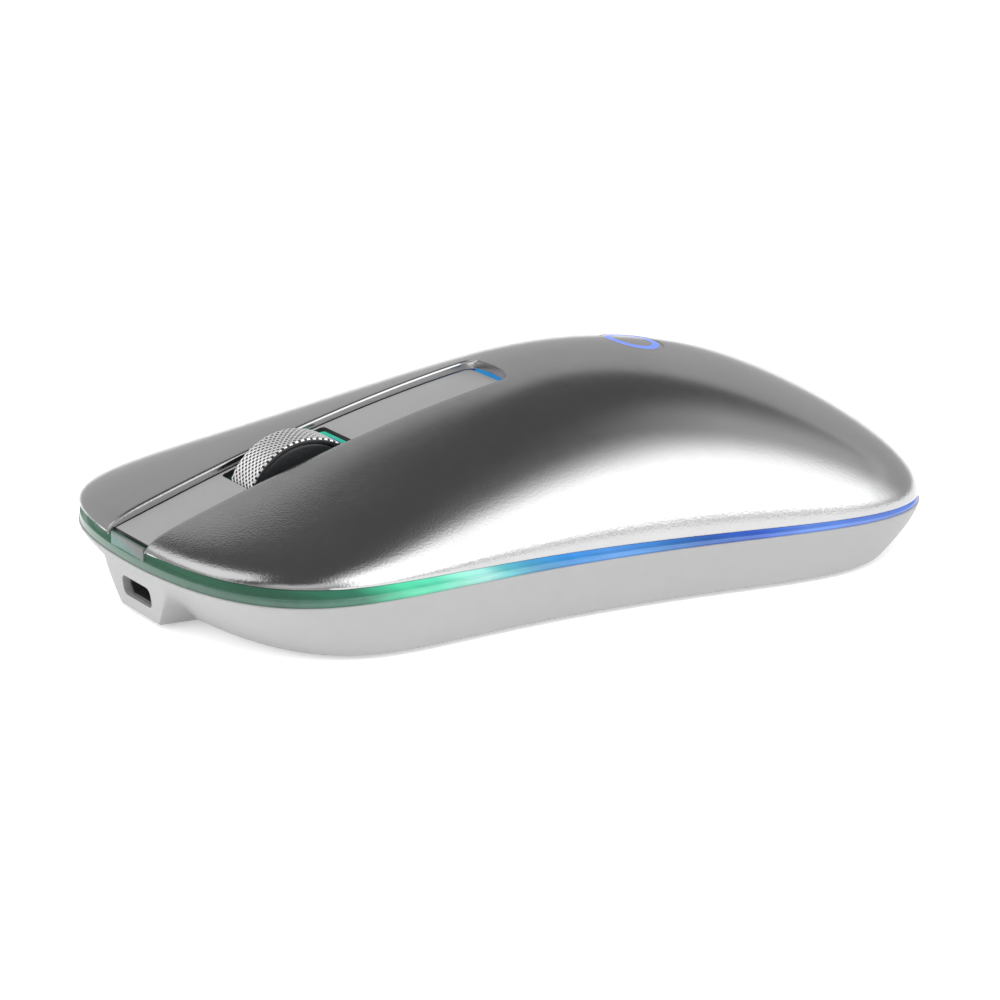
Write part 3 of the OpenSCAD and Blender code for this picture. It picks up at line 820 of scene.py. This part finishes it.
def base_column(side, u):
    """Points from the foot up the outside, round the upper edge and down the inside."""
    shares = [0.0, 0.004, 0.02, 0.05, 0.1, 0.17, 0.25, 0.34, 0.43, 0.52, 0.61, 0.7, 0.79, 0.87, 0.93, 0.965]
    out = []
    for f in shares:
        x, y, z = base_point(side, u, f)
        lift = max(0.0, 1 - (z - FLOOR_Z) / FOOT_R)
        k = FOOT_R * (1 - math.sqrt(max(0.0, 1 - lift * lift)))
        out.append((x * shrink_w(k), y * shrink_l(k), z))
    x, y, z = base_point(side, u, 1.0)
    for degrees in (0, 30, 60, 90):
        a = math.radians(degrees)
        k = TOP_R * (1 - math.cos(a))
        out.append((x * shrink_w(k), y * shrink_l(k), z - TOP_R * (1 - math.sin(a))))
    for f in (1.0, 0.8, 0.6, 0.4):
        out.append(base_point(side, u, f, BASE_WALL, chin=False))
    x, y, _ = base_point(side, u, 0.2, BASE_WALL, chin=False)
    out.append((x, y, BASE_FLOOR))
    return out


def make_base():
    """The base as a closed tub, with the port and the openings of the underside cut in."""
    half = len(STATIONS) // 2
    cols = [base_column(*k) for k in STATIONS]
    rows, n = len(cols[0]), len(cols)
    pts = [p for c in cols for p in c]
    faces = []
    for i in range(n):
        for j in range(rows - 1):
            a, b = i * rows + j, ((i + 1) % n) * rows + j
            faces.append((a, b, b + 1, a + 1))
    for i in range(half - 1):
        other, after = n - 1 - i, n - 2 - i
        faces.append((i * rows, other * rows, after * rows, (i + 1) * rows))
        top = rows - 1
        faces.append(tuple(k * rows + top for k in (i, i + 1, after, other)))
    obj = add_mesh("base_shell", pts, faces)
    cut(obj, prism("port", rounded(*PORT, (0, PORT_Z)), "y", -60, PORT_BACK))
    cut(obj, prism("lens", rounded(*LENS_OPENING, LENS_AT), "z", -1, 3))
    cut(obj, prism("knob", rounded(*KNOB_OPENING, KNOB_AT), "z", -1, 3))
    for at in SCREWS_AT:
        cut(obj, prism("screw", circle(SCREW_R, at, 32), "z", -1, 2.0))
    shade(obj, 28)
    return piece(obj, "chassis", "base_plastic", "base_shell")


# ---------------------------------------------------------------------------
# Centre strip and the light guide under it
# ---------------------------------------------------------------------------
STRIP_HALF, STRIP_T, STRIP_DROP = SLOT_HALF - 0.2, 0.6, 1.3
STRIP_FRONT, STRIP_REAR, STRIP_CORNER = -55.35, SLOT_END - 0.3, 1.4
OPENING_HALF, OPENING_R = 4.3, 0.6
OPENING_FRONT, OPENING_REAR = WHEEL_Y - 9.1, WHEEL_Y + 6.0
FOOT_X, FOOT_HALF, FOOT_FRONT, FOOT_REAR, FOOT_Z = 3.2, 0.8, -10.6, -9, 6.1
POST_Y, POST_R = -45.8, 2.5
GUIDE_FRONT, GUIDE_REAR, GUIDE_LIP = -52, SLOT_END + 0.4, 0.5


def strip_z(y):
    """Height of the strip's face, a little lower towards its rear end."""
    return float(crown(y / HALF_L)) - STRIP_DROP - 0.3 * float(np.clip((y + 26) / 22, 0, 1))


def strip_back(y):
    """Height of the strip's underside, kept above the lip."""
    return max(strip_z(y) - STRIP_T, float(cover_edge(-1)) + 0.15)


def strip_corner(side):
    """Outline of what is cut off one rear corner of the strip to round it."""
    half, rear, r = STRIP_HALF, STRIP_REAR, STRIP_CORNER
    arc = [(side * (half - r + r * math.sin(t)), rear - r + r * math.cos(t))
           for t in np.linspace(0, math.pi / 2, 9)]
    return [(side * (half + 1), rear - r), (side * (half + 1), rear + 1), (side * (half - r), rear + 1)] + arc


def cut_opening(obj, front, rear):
    """Cuts the wheel's opening through the strip or the guide."""
    hole = rounded(OPENING_HALF, (rear - front) / 2, OPENING_R, (0, (front + rear) / 2))
    cut(obj, prism("hole", hole, "z", 8, 30))


def make_strip():
    """The strip on its two feet and its screw post; only its face is silver, and its sides and ends are
    black, painted shade for the dark gaps round it.
    """
    ys = list(np.linspace(STRIP_FRONT, STRIP_REAR, 60))
    face = [(y, strip_z(y)) for y in ys]
    back = [(y, strip_back(y)) for y in ys[::-1]]
    obj = prism("centre_strip", face + back, "x", -STRIP_HALF, STRIP_HALF)
    soften(obj, 0.1, 2, 50)
    cut_opening(obj, OPENING_FRONT, OPENING_REAR)
    for side in (-1, 1):
        cut(obj, prism("corner", strip_corner(side), "z", 8, 30))
    top = strip_z(FOOT_FRONT) - STRIP_T / 2
    feet = [box_mesh("foot", (x - FOOT_HALF, FOOT_FRONT, FOOT_Z), (x + FOOT_HALF, FOOT_REAR, top), 0.1)
            for x in (-FOOT_X, FOOT_X)]
    top = strip_z(POST_Y - POST_R) - STRIP_T / 2
    feet.append(prism("post", circle(POST_R, (0, POST_Y), 48), "z", FOOT_Z, top))
    join([obj] + feet)
    piece(obj, "chassis", "strip_plastic", "centre_strip", mats=["strip_plastic", "black_plastic"])
    # every face not turned up gets the black: painted shade on the strip's sides, front end and the walls of
    # the wheel's opening
    for poly in obj.data.polygons:
        poly.material_index = 1 if poly.normal.z < 0.5 else 0
    shade(obj, 30)
    return obj


def make_guide():
    """Plate under the strip, turned up at its rear end behind the strip; its glow is painted light for the
    LEDs' light spilling inside the shell.
    """
    ys = list(np.linspace(GUIDE_FRONT, GUIDE_REAR, 40))
    lip_top = strip_z(STRIP_REAR) - 0.05
    lip = [(GUIDE_REAR + 0.05, lip_top), (GUIDE_REAR + GUIDE_LIP, lip_top),
           (GUIDE_REAR + GUIDE_LIP, strip_back(GUIDE_REAR) - 1.0)]
    face = [(y, strip_back(y) - 0.12) for y in ys]
    back = [(y, strip_back(y) - 1.0) for y in ys[::-1]]
    obj = prism("strip_light_guide", face + lip + back, "x", 0.4 - SLOT_HALF, SLOT_HALF - 0.4)
    cut_opening(obj, OPENING_FRONT - 0.4, OPENING_REAR + 0.7)
    shade(obj, 30)
    return piece(obj, "chassis", "light_guide", "strip_light_guide", mats=["plate_light"])


# ---------------------------------------------------------------------------
# Wheel
# ---------------------------------------------------------------------------
# mesh points from one pit to the next, how far in the knurl ends, and how deep and wide a pit is
PIT_POINTS, KNURL_INSET, PIT_DEPTH, PIT_WIDTH = 8, 0.2, 0.2, 0.19
CHEEK_R = WHEEL_R - 0.3


def pit_distance(v, q, pitch_x):
    """Millimetres to the nearest pit from v pitches round and q pitches across."""
    found = []
    for shift in (0.0, 0.5):
        ev, eq = (v - shift + 0.5) % 1 - 0.5, (q - shift + 0.5) % 1 - 0.5
        found.append(math.hypot(ev * PITCH_ROUND, eq * pitch_x))
    return min(found)


def make_rim():
    """The knurled rim; its UV map counts pits round and across, for the material's painted shade in the pits.
    """
    flat = RIM_W / 2 - KNURL_INSET
    xs = np.linspace(-flat, flat, KNURL_ACROSS * PIT_POINTS + 1)
    edge = [(-RIM_W / 2 + 0.1, WHEEL_R - 0.8), (-RIM_W / 2, WHEEL_R - 0.72), (-RIM_W / 2, WHEEL_R - 0.4),
            (-RIM_W / 2 + 0.05, WHEEL_R - 0.24), (-RIM_W / 2 + 0.14, WHEEL_R - 0.08)]
    sections, places = [], []
    pitch_x = (2 * flat) / KNURL_ACROSS
    for k in range(KNURL_ROUND * PIT_POINTS):
        v = k / PIT_POINTS
        a = 2 * math.pi * v / KNURL_ROUND
        row = [(x, r, -1.0) for x, r in edge]
        for x in xs:
            q = (x + flat) / pitch_x
            depth = PIT_DEPTH * math.exp(-((pit_distance(v, q, pitch_x) / PIT_WIDTH) ** 2))
            row.append((x, WHEEL_R - depth, q))
        row += [(-x, r, -1.0) for x, r in edge[::-1]]
        turned = [(x, WHEEL_Y + r * math.cos(a), WHEEL_Z + r * math.sin(a)) for x, r, _ in row]
        sections.append(np.array(turned))
        places += [(v, q) for _, _, q in row]
    obj = ringed("wheel_rim", sections)
    layer = obj.data.uv_layers.new(name="knurl")
    for poly in obj.data.polygons:
        corners = [places[i] for i in poly.vertices]
        seam = max(c[0] for c in corners) - min(c[0] for c in corners) > KNURL_ROUND / 2
        for loop, (v, q) in zip(poly.loop_indices, corners):
            layer.data[loop].uv = (v + KNURL_ROUND if seam and v < KNURL_ROUND / 2 else v, q)
    piece(obj, "wheel", "rim_metal", "wheel_rim", mats=["rim_metal", "hub_plastic"])
    for poly in obj.data.polygons:
        radius = math.hypot(poly.center.y / MM - WHEEL_Y, poly.center.z / MM - WHEEL_Z)
        poly.material_index = 1 if radius < CHEEK_R else 0
    shade(obj, 60)
    return obj


def make_hub():
    """The dished disc inside the rim, as (x, r) from its bore out."""
    side = [(3.5, 1.23), (3.5, 2.2), (3.42, 2.42), (3.2, 2.5), (2.5, 2.5), (2.36, 2.65), (2.33, 3.0),
            (2.42, 4.4), (2.55, 6.0), (2.65, 7.2), (2.7, 7.9), (2.68, 8.2), (2.6, 8.33), (2.4, 8.38)]
    profile = side + [(-x, r) for x, r in side[::-1]]
    obj = lathe_x("wheel_hub", profile, WHEEL_Y, WHEEL_Z, 160)
    shade(obj, 40)
    return piece(obj, "wheel", "hub_plastic", "wheel_hub")


# ---------------------------------------------------------------------------
# Studio
# ---------------------------------------------------------------------------
# the photograph's viewpoint: degrees, then millimetres
AZIMUTH, ELEVATION = 59.14, 16.05
TARGET, DISTANCE, LENS = (-1.78, 0, 7.28), 550, 147.6


def back_vector(azimuth, elevation):
    """Direction from the object to the camera or a lamp; azimuth 0 is in front of the nose."""
    a, e = math.radians(azimuth), math.radians(elevation)
    return Vector((math.sin(a) * math.cos(e), -math.cos(a) * math.cos(e), math.sin(e)))


def make_camera():
    """The camera on the sensor of a full-frame body, 36 mm wide."""
    data = bpy.data.cameras.new("camera")
    cam = bpy.data.objects.new("camera", data)
    bpy.context.scene.collection.objects.link(cam)
    back = back_vector(AZIMUTH, ELEVATION)
    cam.location = (Vector(TARGET) + back * DISTANCE) * MM
    cam.rotation_mode = "QUATERNION"
    cam.rotation_quaternion = (-back).to_track_quat("-Z", "Y")
    data.lens, data.sensor_width = LENS, 36
    data.clip_start, data.clip_end = 0.01, 20
    bpy.context.scene.camera = cam


def softbox(name, azimuth, elevation, distance, width, height, power):
    """A large soft lamp; what the gloss mirrors is left to the world's panels."""
    data = bpy.data.lights.new(name, "AREA")
    data.shape, data.size, data.size_y, data.energy = "RECTANGLE", width, height, power
    obj = bpy.data.objects.new(name, data)
    bpy.context.scene.collection.objects.link(obj)
    back = back_vector(azimuth, elevation)
    obj.location = Vector((0, 0, 0.01)) + back * distance
    obj.rotation_mode = "QUATERNION"
    obj.rotation_quaternion = back.to_track_quat("Z", "Y")
    obj.visible_glossy = False


def ease(tree, value, start, end):
    """0 before start and 1 after end, with a soft step between."""
    n = tree.nodes.new("ShaderNodeMapRange")
    n.interpolation_type = "SMOOTHSTEP"
    n.inputs["From Min"].default_value = start
    n.inputs["From Max"].default_value = end
    tree.links.new(value, n.inputs["Value"])
    return n.outputs["Result"]


def combine(tree, kind, *values):
    """Chains the values, numbers or sockets, with one kind of sum."""
    out = values[0]
    for value in values[1:]:
        n = tree.nodes.new("ShaderNodeMath")
        n.operation = kind
        for socket, v in zip(n.inputs, (out, value)):
            if isinstance(v, (int, float)):
                socket.default_value = v
            else:
                tree.links.new(v, socket)
        out = n.outputs[0]
    return out


# studio panels: azimuth limits, elevation limits (degrees, with soft edges) and brightness
PANELS = [
    ((103, 9), (153, 27), (5, 5), (72, 21), 2.6),
    ((100, 24), (165, 24), (50, 20), (80, 10), 0.3),
    ((12, 16), (101, 8), (31, 8), (61, 8), 0.9),
    ((-70, 8), (-18, 8), (26, 8), (66, 5), 1.5),
    ((142, 16), (179.9, 0.1), (28, 8), (61, 11), 0.62),
    ((-179.9, 0.1), (-160, 14), (28, 8), (61, 11), 0.62),
]
WALL_LIGHT, DARK_LIGHT = 0.64, 0.14
# the walls' top edge is highest at WALL_PEAK, falls away to both sides, and is level beyond WALL_SPAN
WALL_TOP, WALL_PEAK, WALL_SPAN, WALL_FALL = 46.5, -118, 45, 0.3066


def sine(degrees):
    return math.sin(math.radians(degrees))


def make_world():
    """Grey walls, a dark ceiling and soft panels, by direction."""
    world = bpy.data.worlds.new("studio")
    bpy.context.scene.world = world
    world.use_nodes = True
    tree = world.node_tree
    tree.nodes.clear()
    out = tree.nodes.new("ShaderNodeOutputWorld")
    back = tree.nodes.new("ShaderNodeBackground")
    coord = tree.nodes.new("ShaderNodeTexCoord")
    split = tree.nodes.new("ShaderNodeSeparateXYZ")
    tree.links.new(coord.outputs["Generated"], split.inputs[0])
    tree.links.new(back.outputs[0], out.inputs[0])
    x, y, z = split.outputs
    azimuth = combine(tree, "ARCTAN2", x, combine(tree, "MULTIPLY", y, -1.0))
    away = combine(tree, "ABSOLUTE", combine(tree, "SUBTRACT", azimuth, math.radians(WALL_PEAK)), 0.0)
    away = combine(tree, "MINIMUM", away, math.radians(WALL_SPAN))
    # height over the edge, as a sine, so that one soft step serves at every azimuth
    over = combine(tree, "ADD", z, combine(tree, "MULTIPLY", away, WALL_FALL))
    dark = ease(tree, over, sine(WALL_TOP - 1), sine(WALL_TOP + 1))
    light = combine(tree, "ADD", combine(tree, "MULTIPLY", dark, DARK_LIGHT - WALL_LIGHT), WALL_LIGHT)
    for (a0, s0), (a1, s1), (e0, t0), (e1, t1), power in PANELS:
        a0, s0, a1, s1 = map(math.radians, (a0, s0, a1, s1))
        fades = [ease(tree, azimuth, a0 - s0, a0 + s0), ease(tree, azimuth, a1 + s1, a1 - s1),
                 ease(tree, z, sine(e0 - t0), sine(e0 + t0)), ease(tree, z, sine(e1 + t1), sine(e1 - t1))]
        light = combine(tree, "ADD", light, combine(tree, "MULTIPLY", *fades, power))
    tree.links.new(light, back.inputs["Strength"])


def make_floor():
    """A pale floor, 12 m square, with a faint glow that keeps its shadows light."""
    far = 6.0
    mesh = bpy.data.meshes.new("floor")
    mesh.from_pydata([(-far, -far, 0), (far, -far, 0), (far, far, 0), (-far, far, 0)], [], [(0, 1, 2, 3)])
    obj = bpy.data.objects.new("floor", mesh)
    bpy.context.scene.collection.objects.link(obj)
    mesh.materials.append(surface("floor", (0.9, 0.9, 0.9), rough=(0.8, 0.9), grain=2, depth=0.0,
                                  vary=0.004, Emission_Color=(1, 1, 1, 1), Emission_Strength=0.35))


def make_studio():
    """Camera, world, floor and two lamps."""
    make_camera()
    make_world()
    make_floor()
    softbox("overhead", 0, 89, 1.0, 1.8, 1.8, 11.5)
    softbox("front_fill", 0, 18, 0.9, 0.9, 0.5, 4.5)
    scene = bpy.context.scene
    scene.view_settings.view_transform = "Standard"
    scene.view_settings.look = "None"


make_palm()
make_window()
make_finger("left_button", 1, "left_button")
make_finger("right_button", -1, "right_button")
make_band()
make_base()
make_strip()
make_guide()
make_rim()
make_hub()
# every visible CAD node gets the material of its slot
for row in frame["record"]["subparts"]:
    node = frame["nodes"][row["node"]]
    if not node.hide_render:
        paint(node, row["material_slot"])
make_studio()
